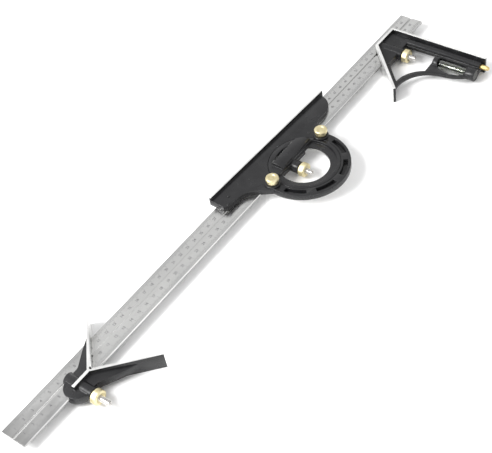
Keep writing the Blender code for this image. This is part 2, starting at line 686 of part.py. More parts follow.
def centre_web():
    """The thinner plate behind the arms, running into the round pad under the clamp."""
    half = [(27.0, 28.8), (12.2, 21.8), (-3.4, 12.8), (-9.5, 11.4)]
    pad = arc((PAD_CENTRE_X, 0), PAD_RADIUS, 100, 260, 20)
    mirrored = [(x, -y) for x, y in reversed(half)]
    return prism(half + pad + mirrored + [(-1.0, 0)], HOUSING_BOTTOM, HOUSING_TOP)


def centre_head(parent, finishes):
    bolt = (CENTRE_BOLT_X, 0, RULE_MIDDLE_Z)
    back = SHORT_FORK + BOLT_RELEASE + GAP + 0.5
    barrel = clamp_barrel(CENTRE_REACH, back)
    barrel.data.transform(Matrix.Translation(bolt))
    bore = clamp_bore(CENTRE_REACH, back - 1.5)
    bore.data.transform(Matrix.Translation(bolt))
    half = STEM_WIDTH / 2
    stem = block((-STEM_LENGTH, -1.0), (-half, half), (HEAD_BOTTOM, HEAD_TOP))
    casting = joined(centre_web(), centre_arms(), stem, barrel)
    cut(casting, rod(VERTEX_RELIEF, HEAD_BOTTOM - 1, HEAD_TOP + 1, segments=20))
    slot = block((-60.0, 90.0), (-EDGE_GAP, RULE_WIDTH + EDGE_GAP), (SLOT_LOW, SLOT_HIGH))
    cut(casting, slot, bore)
    piece(casting, "centre_head_casting", finishes["painted_iron"], parent)
    clamp_set("centre", parent, bolt, CENTRE_REACH, SHORT_FORK, CENTRE_STUD, finishes)


def main():
    clear_scene()
    finishes = {
        "satin_steel": material("satin_steel", (0.60, 0.60, 0.59), 0.38, 0.9),
        "bright_steel": material("bright_steel", (0.72, 0.70, 0.68), 0.22, 1.0),
        "painted_iron": material("painted_iron", (0.02, 0.02, 0.022), 0.42, 0.0),
        "brass": material("brass", (0.83, 0.68, 0.34), 0.28, 1.0),
        "glass": material("glass", (0.12, 0.14, 0.06), 0.08, 0.0),
        "compound": material("compound", (0.09, 0.09, 0.088), 0.8, 0.0),
    }
    middle_y = (REACH_IN - REACH_OUT) / 2
    rule = datum("rule_datum", (-RULE_LENGTH / 2, middle_y, -HEAD_BOTTOM))
    steel_rule(rule, finishes["satin_steel"])
    square_head(datum("square_head_datum", (SQUARE_X, 0, 0), rule), finishes)
    turret = datum("turret_datum", (TURRET_X, TURRET_Y, 0), rule)
    frame = datum("protractor_frame_datum", (0, 0, 0), turret, FRAME_TURN)
    protractor_head(turret, frame, finishes)
    centre_head(datum("centre_head_datum", (VERTEX_X, -RULE_WIDTH, 0), rule), finishes)


main()
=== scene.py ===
"""Looks of the combination square set: finishes, engraving, threads, knurls and levels."""
import json
import math

import bmesh
import bpy
from mathutils import Euler, Matrix, Vector


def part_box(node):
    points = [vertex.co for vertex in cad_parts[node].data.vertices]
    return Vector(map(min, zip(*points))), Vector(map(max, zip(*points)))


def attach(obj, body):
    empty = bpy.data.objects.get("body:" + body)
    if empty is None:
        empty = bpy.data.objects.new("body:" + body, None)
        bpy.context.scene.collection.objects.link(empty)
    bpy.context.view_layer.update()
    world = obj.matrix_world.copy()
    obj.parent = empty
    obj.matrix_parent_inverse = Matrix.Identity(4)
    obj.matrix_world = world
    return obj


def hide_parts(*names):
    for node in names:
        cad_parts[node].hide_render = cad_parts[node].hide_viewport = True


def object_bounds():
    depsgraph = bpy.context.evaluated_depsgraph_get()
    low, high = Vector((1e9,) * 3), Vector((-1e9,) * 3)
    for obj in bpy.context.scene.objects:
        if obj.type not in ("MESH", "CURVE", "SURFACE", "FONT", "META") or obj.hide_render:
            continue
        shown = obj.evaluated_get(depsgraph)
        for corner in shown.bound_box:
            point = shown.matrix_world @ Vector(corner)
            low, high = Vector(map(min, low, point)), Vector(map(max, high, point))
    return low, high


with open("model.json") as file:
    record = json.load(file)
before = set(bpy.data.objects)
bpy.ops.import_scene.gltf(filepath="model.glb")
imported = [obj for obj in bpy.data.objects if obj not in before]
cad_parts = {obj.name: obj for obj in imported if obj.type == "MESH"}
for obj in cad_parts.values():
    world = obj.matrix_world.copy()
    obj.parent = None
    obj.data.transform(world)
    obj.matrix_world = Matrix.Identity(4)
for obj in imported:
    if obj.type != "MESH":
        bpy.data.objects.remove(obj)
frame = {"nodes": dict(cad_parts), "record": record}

cad_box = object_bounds()

MM = 0.001
RULE_LOW, RULE_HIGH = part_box("steel_rule")
ZERO = Vector((RULE_LOW.x, RULE_HIGH.y, RULE_HIGH.z))  # zero end, free edge, graduated face
RULE_LENGTH = (RULE_HIGH.x - RULE_LOW.x) / MM
RULE_WIDTH = (RULE_HIGH.y - RULE_LOW.y) / MM
RULE_THICKNESS = (RULE_HIGH.z - RULE_LOW.z) / MM
INCH = 25.4

# Sizes below are in millimetres.

# Engraving
INK_HEIGHT = 0.02
DIGIT_ADVANCE = 0.62  # from one digit to the next, in digit heights
LINE_WIDTH = 0.16
LINE_START = 0.25  # from the rule's edge to a line's outer end
CM_LINES = ((10, 5.6), (5, 4.6), (1, 3.4))  # every so many millimetres, how long
CM_NUMBER_SIZE = 2.7
FREE_ROW = (-2.3, -7.4)  # a number's centre from its centimetre line, and from the free edge
CLAMPED_ROW = (-1.2, -17.1)
SIXTEENTHS = 16
INCH_LINES = ((16, 6.4), (8, 5.2), (4, 4.2), (2, 3.4), (1, 2.4))  # every so many sixteenths, how long
INCH_NUMBER_SIZE = 3.2
INCH_NUMBER_SHIFT = -3.0  # a number's centre from its inch line
INCH_ROW = 8.2  # a number's centre from the nearer edge
DEGREE_LINES = ((10, 3.2), (5, 2.4), (1, 1.6))  # every so many degrees, how long
DEGREE_LINE_WIDTH = 0.12
DEGREE_NUMBER_SIZE = 1.5
DEGREE_NUMBER_DEPTH = 4.9  # a number's centre from the outer ends of the lines
DEGREE_MARGIN = 0.5  # from the ring's edge to the outer ends of the lines
INDEX_WIDTH = 0.25
INDEX_LENGTH = 3.6
INDEX_MARGIN = 0.6

# Rounded edges
CASTING_BEVEL = 0.32
TURNED_BEVEL = 0.12
SMALL_BEVEL = 0.15
MERGE = 0.06  # corners of a CAD mesh nearer than this are one corner
BOLT_MERGE = 0.02
FLAT = 0.08  # a face this near a ground plane lies in it

# Threads and knurls
THREAD_PITCH = 0.8
THREAD_RIDGE = 0.22
THREAD_ROOT = -0.12
THREAD_HALF = 0.34
THREAD_CORE = 2.4
THREAD_START = 0.4
THREAD_STOP = 1.9  # how much less is threaded than stands out of the nut's inner face
KNURL_DEPTH = 0.2
KNURL_EASE = 0.06  # depth of the knurl where it runs out
STEPS_PER_TOOTH = 4
NUT_TEETH = 44
LOCK_TEETH = 36
KNOB_TEETH = 18

# Turned parts and studs
NUT_BORE = 2.68
NUT_HUB_STEP = 1.6
NUT_HUB_LENGTH = 0.9
LOCK_BASE = 8.7  # underside of a lock screw's head, just above its shoe
LOCK_NECK = 0.7  # how much narrower the knurled neck is than the cap
LOCK_NECK_LENGTH = 2.9
LOCK_FOOT = 2.0
LOCK_ROUNDING = (2.2, 1.5)  # of the cap's edge, inward and downward
LOCK_KNURL_DEPTH = 0.18
KNOB_BORE = 1.55
KNOB_BORE_DEPTH = 6.2
LOBE_STUDS = ((-72.9, 33.3), (-81.2, 26.6))  # from the turret's axis: along, across the edge
STUD_RADIUS = 1.7
STUD_SUNK = 0.1
STUD_SIDE = 0.35
STUD_CROWN = 0.7
SHOE_GAP = 0.3  # from the protractor's plate up to a lock shoe

# Levels
VIAL_EASE = 0.4  # rounding of the tube's ends, as a share of its radius
VIAL_WALL = 0.22  # share of the radius
FLUID_SHARE = 0.985  # of the tube's hollow, so that the two don't touch
BUBBLE_WIDTH = 0.62  # share of the hollow's radius, and so is the height
BUBBLE_HEIGHT = 0.30
BUBBLE_LENGTH = 0.24  # share of the tube's half length
BUBBLE_RISE = 0.93  # share of the room above the bubble
READING_LINE = 0.30  # from the middle, as a share of the half length
READING_HALF_WIDTH = 0.12
AROUND_VIAL = 48


def at(x, y, z=0.0):
    """A place in millimetres from the rule's zero end, its free edge and its graduated face."""
    return ZERO + Vector((x, y, z)) * MM


def box_and_middle(node):
    """A CAD node's low corner, high corner and middle."""
    low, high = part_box(node)
    return low, high, (low + high) / 2


# ---------------------------------------------------------------- finishes


class Finish:
    """A Principled material with helpers for its procedural detail."""

    def __init__(self, name, colour, roughness, metallic, **sockets):
        self.material = bpy.data.materials.new(name)
        self.material.use_nodes = True
        self.tree = self.material.node_tree
        self.shader = self.tree.nodes["Principled BSDF"]
        self.shader.inputs["Base Color"].default_value = (*colour, 1.0)
        self.shader.inputs["Roughness"].default_value = roughness
        self.shader.inputs["Metallic"].default_value = metallic
        for socket, value in sockets.items():
            self.shader.inputs[socket.replace("_", " ")].default_value = value
        self.place = self.node("ShaderNodeTexCoord").outputs["Object"]

    def node(self, kind, **settings):
        made = self.tree.nodes.new(kind)
        for name, value in settings.items():
            setattr(made, name, value)
        return made

    def link(self, output, socket):
        self.tree.links.new(output, socket)

    def noise(self, scale, detail=3.0, stretch=(1, 1, 1)):
        """Noise of so many features a metre, drawn out where a stretch factor is small."""
        mapping = self.node("ShaderNodeMapping")
        mapping.inputs["Scale"].default_value = stretch
        self.link(self.place, mapping.inputs["Vector"])
        texture = self.node("ShaderNodeTexNoise")
        texture.inputs["Scale"].default_value = scale
        texture.inputs["Detail"].default_value = detail
        self.link(mapping.outputs["Vector"], texture.inputs["Vector"])
        return texture.outputs["Fac"]

    def spread(self, value, low, high, start=0.3, end=0.7):
        """A noise value turned into a number between low and high."""
        ranged = self.node("ShaderNodeMapRange")
        for socket, number in (("From Min", start), ("From Max", end), ("To Min", low), ("To Max", high)):
            ranged.inputs[socket].default_value = number
        self.link(value, ranged.inputs["Value"])
        return ranged.outputs["Result"]

    def along_rule(self, start, end, low):
        """A number from low at one distance along the rule to 1 at another, in metres."""
        parts = self.node("ShaderNodeSeparateXYZ")
        self.link(self.place, parts.inputs["Vector"])
        return self.spread(parts.outputs["X"], low, 1.0, start, end)

    def colours(self, value, stops):
        """Colour from a value through a ramp of (position, colour) stops."""
        ramp = self.node("ShaderNodeValToRGB")
        ramp.color_ramp.elements[0].position = stops[0][0]
        ramp.color_ramp.elements[0].color = (*stops[0][1], 1)
        ramp.color_ramp.elements[1].position = stops[-1][0]
        ramp.color_ramp.elements[1].color = (*stops[-1][1], 1)
        for position, colour in stops[1:-1]:
            ramp.color_ramp.elements.new(position).color = (*colour, 1)
        self.link(value, ramp.inputs["Fac"])
        self.link(ramp.outputs["Color"], self.shader.inputs["Base Color"])
        return self

    def rough(self, value, low, high):
        self.link(self.spread(value, low, high), self.shader.inputs["Roughness"])
        return self

    def bumps(self, *layers):
        """Layers of (value, depth in metres), one on top of the other."""
        below = None
        for value, depth in layers:
            bump = self.node("ShaderNodeBump")
            bump.inputs["Distance"].default_value = depth
            self.link(value, bump.inputs["Height"])
            if below:
                self.link(below, bump.inputs["Normal"])
            below = bump.outputs["Normal"]
        self.link(below, self.shader.inputs["Normal"])
        return self


def satin_rule_steel():
    """Satin chrome over steel ground along the rule's length, darkened towards the zero end by painted
    shade.
    """
    finish = Finish("satin_rule_steel", (0.60, 0.60, 0.59), 0.36, 1.0)
    brushed = finish.noise(2600, 2.0, (0.02, 1, 1))
    smudges = finish.noise(22, 4.0, (0.5, 1, 1))
    # painted shade: scales the colour down over the first 55 mm towards the zero end, standing in for a
    # dimmer reflection there
    zero_end_painted_shade = finish.along_rule(RULE_LOW.x, RULE_LOW.x + 0.055, 0.45)
    tone = finish.node("ShaderNodeMath", operation="MULTIPLY")
    finish.link(smudges, tone.inputs[0])
    finish.link(zero_end_painted_shade, tone.inputs[1])
    # the smudges are the steel's own tone; the darkest stop is reached only where the painted shade at the
    # zero end darkens them
    finish.colours(tone.outputs["Value"], ((0.16, (0.22, 0.22, 0.217)), (0.36, (0.53, 0.53, 0.525)),
                                           (0.70, (0.65, 0.65, 0.64))))
    finish.rough(smudges, 0.22, 0.30)
    finish.bumps((brushed, 0.000006))
    return finish.material


def ground_iron():
    """Bare ground working edges of the castings."""
    finish = Finish("ground_iron", (0.84, 0.84, 0.83), 0.32, 1.0)
    strokes = finish.noise(1800, 2.0, (1, 0.05, 1))
    stain = finish.noise(90, 5.0)
    finish.colours(stain, ((0.28, (0.80, 0.80, 0.79)), (0.62, (0.94, 0.94, 0.93))))
    finish.rough(stain, 0.26, 0.42)
    finish.bumps((strokes, 0.000008))
    return finish.material


def black_enamel():
    """Satin black enamel that follows the slightly uneven skin of the casting."""
    finish = Finish("black_enamel", (0.013, 0.013, 0.014), 0.33, 0.0, Specular_IOR_Level=0.36)
    skin = finish.noise(260, 4.0)
    grain = finish.noise(2200, 3.0)
    dust = finish.noise(60, 6.0)
    finish.colours(dust, ((0.30, (0.009, 0.009, 0.010)), (0.72, (0.019, 0.019, 0.020))))
    finish.rough(dust, 0.20, 0.31)
    finish.bumps((skin, 0.00012), (grain, 0.000012))
    return finish.material


def bright_steel():
    """Turned and plated steel of the bolts, springs and scriber."""
    finish = Finish("bright_steel", (0.59, 0.58, 0.56), 0.20, 1.0)
    turning = finish.noise(3000, 1.0, (0.1, 1, 0.1))
    finish.colours(finish.noise(300, 3.0), ((0.3, (0.50, 0.49, 0.47)), (0.7, (0.68, 0.66, 0.64))))
    finish.rough(turning, 0.14, 0.30)
    finish.bumps((turning, 0.000004))
    return finish.material


def brass(name, dull, clean):
    """Turned brass between a dull and a clean colour, in patches."""
    finish = Finish(name, clean, 0.24, 1.0)
    patches = finish.noise(260, 4.0)
    turning = finish.noise(2600, 1.5, (0.2, 1, 0.2))
    finish.colours(patches, ((0.30, dull), (0.70, clean)))
    finish.rough(patches, 0.36, 0.50)
    finish.bumps((turning, 0.000006))
    return finish.material


def scale_steel():
    """Satin steel of the protractor's graduated ring."""
    finish = Finish("scale_steel", (0.66, 0.66, 0.65), 0.34, 1.0)
    smudges = finish.noise(60, 4.0)
    finish.colours(smudges, ((0.3, (0.58, 0.58, 0.57)), (0.7, (0.70, 0.70, 0.69))))
    finish.rough(smudges, 0.30, 0.42)
    finish.bumps((finish.noise(2400, 2.0), 0.000004))
    return finish.material


def ink():
    """Black fill in the engraved lines and numbers, worn thin in places."""
    finish = Finish("ink", (0.06, 0.06, 0.065), 0.6, 0.0)
    wear = finish.noise(500, 4.0)
    finish.colours(wear, ((0.35, (0.035, 0.035, 0.04)), (0.75, (0.16, 0.16, 0.165))))
    finish.rough(wear, 0.5, 0.75)
    return finish.material


def tube_glass():
    finish = Finish("tube_glass", (0.95, 0.98, 0.93), 0.03, 0.0, IOR=1.5, Transmission_Weight=1.0)
    haze = finish.noise(120, 3.0)
    finish.colours(haze, ((0.3, (0.92, 0.96, 0.90)), (0.7, (0.97, 0.99, 0.96))))
    finish.rough(haze, 0.01, 0.06)
    return finish.material


def level_fluid():
    finish = Finish("level_fluid", (0.10, 0.12, 0.04), 0.05, 0.0, IOR=1.36, Transmission_Weight=1.0)
    depth = finish.noise(90, 2.0)
    finish.colours(depth, ((0.3, (0.07, 0.09, 0.03)), (0.7, (0.12, 0.15, 0.05))))
    finish.rough(depth, 0.02, 0.08)
    return finish.material


def bubble_air():
    finish = Finish("bubble_air", (0.90, 0.95, 0.80), 0.04, 0.0, IOR=1.05, Transmission_Weight=1.0)
    finish.rough(finish.noise(200, 2.0), 0.02, 0.08)
    return finish.material


def setting_compound():
    finish = Finish("setting_compound", (0.09, 0.09, 0.088), 0.8, 0.0)
    crumbs = finish.noise(900, 5.0)
    finish.colours(crumbs, ((0.3, (0.060, 0.060, 0.058)), (0.7, (0.125, 0.125, 0.120))))
    finish.bumps((crumbs, 0.00010))
    return finish.material


def studio_floor():
    finish = Finish("studio_floor", (0.93, 0.93, 0.93), 0.9, 0.0, Specular_IOR_Level=0.0)
    paper = finish.noise(8, 2.0)
    finish.colours(paper, ((0.3, (0.925, 0.925, 0.925)), (0.7, (0.935, 0.935, 0.935))))
    return finish.material


# ---------------------------------------------------------------- making pieces


def smooth_faces(mesh, angle=40.0):
    mesh.polygons.foreach_set("use_smooth", [True] * len(mesh.polygons))
    mesh.set_sharp_from_angle(angle=math.radians(angle))
    mesh.update()


def new_piece(name, mesh, materials, body, slot, *nodes):
    """A shown object that rides on a CAD body and stands for the given CAD nodes."""
    shown = bpy.data.objects.new(name, mesh)
    bpy.context.scene.collection.objects.link(shown)
    if not mesh.materials:
        for material in materials:
            mesh.materials.append(material)
    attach(shown, body)
    if nodes:
        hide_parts(*nodes)
    return shown


def mesh_from(work, name, angle=40.0):
    bmesh.ops.recalc_face_normals(work, faces=work.faces)
    mesh = bpy.data.meshes.new(name)
    work.to_mesh(mesh)
    work.free()
    smooth_faces(mesh, angle)
    return mesh


def bevelled(shown, width, angle=32.0):
    """Rounds the object's sharp edges by width millimetres and keeps its flats flat."""
    rounding = shown.modifiers.new("edge rounding", "BEVEL")
    rounding.width = width * MM
    rounding.segments = 2
    rounding.limit_method = "ANGLE"
    rounding.angle_limit = math.radians(angle)
    rounding.use_clamp_overlap = False
    rounding.miter_outer = "MITER_ARC"
    weighting = shown.modifiers.new("flat faces stay flat", "WEIGHTED_NORMAL")
    weighting.keep_sharp = True
    graph = bpy.context.evaluated_depsgraph_get()
    mesh = bpy.data.meshes.new_from_object(shown.evaluated_get(graph))
    shown.modifiers.clear()
    shown.data = mesh
    return shown


def from_cad(node, name, materials, body, slot, choose=None, width=SMALL_BEVEL, merge=MERGE):
    """A finer copy of a CAD node: clean flats, faces sorted by finish, rounded edges."""
    work = bmesh.new()
    work.from_mesh(frame["nodes"][node].data)
    for face in work.faces:
        face.material_index = choose(face) if choose else 0
    bmesh.ops.remove_doubles(work, verts=work.verts, dist=merge * MM)
    flats = {"verts": work.verts, "edges": work.edges, "delimit": {"MATERIAL"}}
    bmesh.ops.dissolve_limit(work, angle_limit=math.radians(1.0), **flats)
    for edge in work.edges:
        edge.smooth = edge.calc_face_angle(0.0) < math.radians(32)
    mesh = bpy.data.meshes.new(name)
    work.to_mesh(mesh)
    work.free()
    mesh.polygons.foreach_set("use_smooth", [True] * len(mesh.polygons))
    shown = new_piece(name, mesh, materials, body, slot, node)
    bevelled(shown, width)
    smooth_faces(shown.data, 50)
    return shown


def lathe(rows, around, closed):
    """A turned solid about local Z. A row is (radius, height, tooth depth); closed joins last to first."""
    work = bmesh.new()
    rings = []
    for radius, height, tooth in rows:
        if radius <= 0:
            rings.append([work.verts.new((0, 0, height))])
            continue
        ring = []
        for step in range(around):
            reach = radius - tooth * (0, 0.5, 1, 0.5)[step % STEPS_PER_TOOTH]
            angle = 2 * math.pi * step / around
            ring.append(work.verts.new((reach * math.cos(angle), reach * math.sin(angle), height)))
        rings.append(ring)
    pairs = list(zip(rings, rings[1:]))
    if closed:
        pairs.append((rings[-1], rings[0]))
    for low, high in pairs:
        for step in range(around):
            after = (step + 1) % around
            if len(low) == 1:
                work.faces.new((low[0], high[after], high[step]))
            elif len(high) == 1:
                work.faces.new((low[step], low[after], high[0]))
            else:
                work.faces.new((low[step], low[after], high[after], high[step]))
    return work


def placed(work, turn, place):
    """Scales from millimetres, turns, and moves to a place in the frame."""
    matrix = Matrix.Translation(place) @ turn @ Matrix.Scale(MM, 4)
    bmesh.ops.transform(work, matrix=matrix, verts=work.verts)
    return work


ALONG_MINUS_Y = Matrix.Rotation(math.radians(90), 4, "X")
ALONG_PLUS_Z = Matrix.Identity(4)
ALONG_PLUS_Y = Matrix.Rotation(math.radians(-90), 4, "X")
ALONG_PLUS_X = Matrix.Rotation(math.radians(90), 4, "Y")


# ---------------------------------------------------------------- engraving


class Engraving:
    """Thin raised ink: lines and numbers gathered into one mesh."""

    def __init__(self):
        self.points = []
        self.faces = []

    def slab(self, corners, lift):
        """A flat prism on four ground corners, in metres; lift is its height as a vector."""
        first = len(self.points)
        self.points += corners + [corner + lift for corner in corners]
        self.faces.append([first + i for i in (3, 2, 1, 0)])
        self.faces.append([first + i for i in (4, 5, 6, 7)])
        for i in range(4):
            after = (i + 1) % 4
            self.faces.append([first + i, first + after, first + after + 4, first + i + 4])

    def line(self, start, end, width, lift):
        side = lift.cross(end - start).normalized() * width * MM / 2
        self.slab([start - side, end - side, end + side, start + side], lift)

    def number(self, text, matrix):
        """Digits centred on the matrix's origin, reading along its X axis."""
        for place, digit in enumerate(text):
            x = (place - (len(text) - 1) / 2) * DIGIT_ADVANCE
            points, faces = DIGITS[digit]
            first = len(self.points)
            self.points += [matrix @ (point + Vector((x, 0, 0))) for point in points]
            self.faces += [[first + i for i in face] for face in faces]

    def piece(self, name, body, slot, material):
        mesh = bpy.data.meshes.new(name)
        mesh.from_pydata([tuple(point) for point in self.points], [], self.faces)
        mesh.update()
        return new_piece(name, mesh, [material], body, slot)


def digit_mesh(digit):
    """The mesh of one digit in Blender's own font, one unit thick."""
    curve = bpy.data.curves.new("digit", "FONT")
    curve.body = digit
    curve.size = 1.0
    curve.resolution_u = 3
    curve.extrude = 0.5
    text = bpy.data.objects.new("digit", curve)
    bpy.context.scene.collection.objects.link(text)
    graph = bpy.context.evaluated_depsgraph_get()
    mesh = bpy.data.meshes.new_from_object(text.evaluated_get(graph))
    bpy.data.objects.remove(text)
    bpy.data.curves.remove(curve)
    return mesh


def digit_solids():
    """Each digit as a thin solid one unit high, centred, standing on the plane z = 0."""
    solids = {}
    for digit in "0123456789":
        mesh = digit_mesh(digit)
        work = bmesh.new()
        work.from_mesh(mesh)
        bpy.data.meshes.remove(mesh)
        bmesh.ops.remove_doubles(work, verts=work.verts, dist=0.0001)
        xs = [vert.co.x for vert in work.verts]
        ys = [vert.co.y for vert in work.verts]
        height = max(ys) - min(ys)
        middle = Vector(((max(xs) + min(xs)) / 2, (max(ys) + min(ys)) / 2, -0.5))
        work.verts.index_update()
        points = [(vert.co - middle) / height for vert in work.verts]
        for point in points:
            point.z = 1.0 if point.z > 0.5 / height else 0.0
        faces = [[vert.index for vert in face.verts] for face in work.faces]
        solids[digit] = (points, faces)
        work.free()
    return solids


DIGITS = digit_solids()


def facing_up(place, size):
    """Where a number of a size stands, read from above."""
    scale = Matrix.Diagonal((size * MM, size * MM, INK_HEIGHT * MM, 1))
    return Matrix.Translation(place) @ scale


def facing_down(place, size, turn=0.0):
    """Where a number of a size stands, read from below and turned about Z."""
    scale = Matrix.Diagonal((size * MM, size * MM, INK_HEIGHT * MM, 1))
    flip = Matrix.Rotation(math.pi, 4, "X")
    return Matrix.Translation(place) @ Matrix.Rotation(turn, 4, "Z") @ flip @ scale


def longest(lines, count):
    """The length of the line at this count: the first rule that divides it."""
    return next(length for every, length in lines if count % every == 0)


def edge_lines(engraving, x, z, length, lift):
    """One line in from each edge of the rule."""
    for edge, inward in ((-LINE_START, -1), (LINE_START - RULE_WIDTH, 1)):
        engraving.line(at(x, edge, z), at(x, edge + inward * length, z), LINE_WIDTH, lift)


def centimetre_scale(material):
    """Both edges of the graduated face, numbered in centimetres from the zero end."""
    engraving = Engraving()
    lift = Vector((0, 0, INK_HEIGHT * MM))
    for count in range(1, int(RULE_LENGTH)):
        edge_lines(engraving, count, 0.0, longest(CM_LINES, count), lift)
        if count % 10 == 0:
            for shift, row in (FREE_ROW, CLAMPED_ROW):
                place = at(count + shift, row)
                engraving.number(str(count // 10), facing_up(place, CM_NUMBER_SIZE))
    return engraving.piece("centimetre_scale", "rule", "rule_steel", material)


def inch_scale(material):
    """Both edges of the back, in sixteenths of an inch, numbered to read from below."""
    engraving = Engraving()
    lift = Vector((0, 0, -INK_HEIGHT * MM))
    back = -RULE_THICKNESS
    for count in range(1, round(RULE_LENGTH / INCH * SIXTEENTHS)):
        x = count * INCH / SIXTEENTHS
        edge_lines(engraving, x, back, longest(INCH_LINES, count), lift)
        if count % SIXTEENTHS == 0:
            for row in (-INCH_ROW, INCH_ROW - RULE_WIDTH):
                place = at(x + INCH_NUMBER_SHIFT, row, back)
                engraving.number(str(count // SIXTEENTHS), facing_down(place, INCH_NUMBER_SIZE))
    return engraving.piece("inch_scale", "rule", "rule_steel", material)


def ring_rim():
    """The centre of the graduated ring's front face, and the ring's radius in millimetres."""
    low, high, middle = box_and_middle("protractor_scale_ring")
    return Vector((middle.x, middle.y, low.z)), (high.x - low.x) / 2 / MM


def degree_scale(material):
    """Degree lines on the ring's front face, numbered both ways from the straight edge."""
    centre, radius = ring_rim()
    rim = radius - DEGREE_MARGIN
    engraving = Engraving()
    lift = Vector((0, 0, -INK_HEIGHT * MM))
    for degree in range(360):
        length = longest(DEGREE_LINES, degree)
        out = Vector((math.cos(math.radians(degree)), math.sin(math.radians(degree)), 0)) * MM
        engraving.line(centre + out * rim, centre + out * (rim - length), DEGREE_LINE_WIDTH, lift)
        if degree % 10 == 0:
            shown = min(degree % 180, 180 - degree % 180)
            place = centre + out * (rim - DEGREE_NUMBER_DEPTH)
            turn = math.radians(degree + 90)
            engraving.number(str(shown), facing_down(place, DEGREE_NUMBER_SIZE, turn))
    return engraving.piece("degree_scale", "turret", "scale_steel", material)


def index_line(material):
    """The two lines on the protractor's frame that the degrees are read against."""
    centre, radius = ring_rim()
    centre.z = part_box("protractor_frame")[0].z
    start = radius + INDEX_MARGIN
    edge = mount_axis("protractor_edge_face")
    engraving = Engraving()
    lift = Vector((0, 0, -INK_HEIGHT * MM))
    for out in (edge * MM, -edge * MM):
        end = start + INDEX_LENGTH
        engraving.line(centre + out * start, centre + out * end, INDEX_WIDTH, lift)
    return engraving.piece("index_lines", "protractor", "head_enamel", material)


# ---------------------------------------------------------------- castings


def mount(name):
    return next(entry for entry in frame["record"]["mounts"] if entry["name"] == name)


def mount_axis(name):
    """The direction that a mount's face looks in."""
    return Vector(mount(name)["axis"]).normalized()


def plane(name):
    """The direction and a point of a mount's face."""
    return mount_axis(name), Vector(mount(name)["pos_m"])


def ground_where(planes):
    """Sorts faces: 1 for those that lie in one of the planes, 0 for enamel."""
    def choose(face):
        for normal, point in planes:
            off = abs((face.calc_center_median() - point).dot(normal))
            if face.normal.dot(normal) > 0.999 and off < FLAT * MM:
                return 1
        return 0
    return choose


def mirrored(name):
    """The plane of a mount's face, mirrored in the rule's clamped edge."""
    normal, point = plane(name)
    return Vector((normal.x, -normal.y, 0)), Vector((point.x, 2 * RULE_LOW.y - point.y, point.z))


def outermost(node, *direction):
    """The plane that the node's farthest corner in a direction lies in."""
    normal = Vector(direction).normalized()
    corners = [corner.co for corner in frame["nodes"][node].data.vertices]
    return normal, max(corners, key=normal.dot).copy()


UP = (0, 0, 1)
DOWN = (0, 0, -1)


def casting(node, name, body, materials, planes):
    """A casting in enamel, with bare iron where a face lies in one of the planes."""
    from_cad(node, name, materials, body, "head_enamel", ground_where(planes), CASTING_BEVEL)


def castings(enamel, iron):
    square = "square_head_casting"
    planes = [outermost(square, *way) for way in (UP, DOWN, (0, 1, 0), (-1, 1, 0))]
    planes.append(plane("square_90_face"))
    casting(square, "square_head_body", "square_head", [enamel, iron], planes)

    outer = "protractor_frame"
    planes = [outermost(outer, *UP), outermost(outer, *DOWN), plane("protractor_edge_face")]
    casting(outer, "protractor_frame_body", "protractor", [enamel, iron], planes)

    casting("protractor_turret", "protractor_turret_body", "turret", [enamel], [])

    centre = "centre_head_casting"
    planes = [outermost(centre, *UP), outermost(centre, *DOWN)]
    planes += [plane("centre_inner_arm_face"), mirrored("centre_inner_arm_face")]
    casting(centre, "centre_head_body", "centre_head", [enamel, iron], planes)

    for side in ("left", "right"):
        shoe = "lock_shoe_" + side
        from_cad(shoe, "lock_shoe_body_" + side, [enamel], "protractor", "head_enamel")


def lobe_studs(enamel):
    """Two low domes cast on the protractor's left lobe."""
    _, _, centre = box_and_middle("protractor_turret")
    across = mount_axis("protractor_edge_face")
    along = Vector((across.y, -across.x, 0))
    plate_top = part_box("lock_shoe_left")[0].z - SHOE_GAP * MM
    for count, (x, y) in enumerate(LOBE_STUDS):
        rows = [(0, -STUD_SUNK, 0), (STUD_RADIUS, -STUD_SUNK, 0), (STUD_RADIUS, STUD_SIDE, 0)]
        for share in (0.3, 0.6, 0.85):
            turn = share * math.pi / 2
            rows.append((STUD_RADIUS * math.cos(turn), STUD_SIDE + STUD_CROWN * math.sin(turn), 0))
        rows.append((0, STUD_SIDE + STUD_CROWN, 0))
        place = Vector((centre.x, centre.y, plate_top)) + (along * x + across * y) * MM
        name = f"lobe_stud_{count + 1}"
        work = placed(lathe(rows, 24, False), ALONG_PLUS_Z, place)
        new_piece(name, mesh_from(work, name), [enamel], "protractor", "head_enamel")


def rule_body(steel):
    from_cad("steel_rule", "rule_body", [steel], "rule", "rule_steel", None, TURNED_BEVEL)


# ---------------------------------------------------------------- clamps and screws


def clamp_nut(prefix, body, material):
    """Hub, chamfered knurled rim, dished face and bore."""
    node = prefix + "_clamp_nut"
    low, high, middle = box_and_middle(node)
    length = (high.y - low.y) / MM
    radius = (high.x - low.x) / 2 / MM
    hub = radius - NUT_HUB_STEP
    bore = NUT_BORE
    rows = [(bore + 0.3, 0.0, 0), (hub - 0.3, 0.0, 0), (hub, 0.3, 0)]
    rows += [(hub, NUT_HUB_LENGTH, 0), (radius - 0.5, NUT_HUB_LENGTH, 0)]
    rows += [(radius - 0.05, 1.25, KNURL_EASE), (radius, 1.4, KNURL_DEPTH)]
    rows += [(radius, length - 1.1, KNURL_DEPTH), (radius - 0.05, length - 0.9, KNURL_EASE)]
    rows += [(radius - 0.55, length - 0.42, 0), (hub + 0.35, length - 0.3, 0)]
    rows += [(hub, length, 0), (4.3, length, 0), (3.5, length - 0.7, 0), (bore + 0.3, length - 0.7, 0)]
    rows += [(bore, length - 1.0, 0), (bore, 0.3, 0)]
    work = lathe(rows, STEPS_PER_TOOTH * NUT_TEETH, True)
    placed(work, ALONG_MINUS_Y, Vector((middle.x, high.y, middle.z)))
    mesh = mesh_from(work, node, 35)
    return new_piece(prefix + "_knurled_nut", mesh, [material], body, "brass", node)


